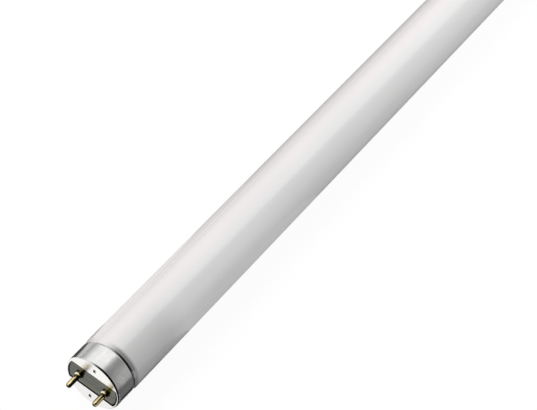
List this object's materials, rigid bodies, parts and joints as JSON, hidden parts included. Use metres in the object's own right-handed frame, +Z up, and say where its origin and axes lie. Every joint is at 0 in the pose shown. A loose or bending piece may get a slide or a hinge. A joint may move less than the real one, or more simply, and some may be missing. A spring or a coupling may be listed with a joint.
{
  "type": "fluorescent tube",
  "caption": "Straight white glass fluorescent tube with an aluminium cap and brass contact pins at each end; it sits between lamp holders.",
  "frame": {"origin": "middle of the tube, on its axis", "axes": "+X along the tube, +Y from one contact pin of a cap to the other, +Z up as the tube lies"},
  "size_m": [0.604, 0.026, 0.026],
  "materials": {
    "coated_glass": "gloss",
    "cap_aluminium": "satin",
    "insulator_board": "matte",
    "pin_brass": "polished",
    "wire_nickel": "satin",
    "cement": "matte"
  },
  "bodies": {
    "root": {"glass_tube": "coated_glass", "end_cap_left": "cap_aluminium", "end_cap_right": "cap_aluminium", "insulator_left": "insulator_board", "insulator_right": "insulator_board", "contact_pin_left_front": "pin_brass", "contact_pin_left_rear": "pin_brass", "contact_pin_right_front": "pin_brass", "contact_pin_right_rear": "pin_brass", "lead_wire_left_front": "wire_nickel", "lead_wire_left_rear": "wire_nickel", "lead_wire_right_front": "wire_nickel", "lead_wire_right_rear": "wire_nickel", "capping_cement_left": "cement", "capping_cement_right": "cement"}
  },
  "joints": []
}
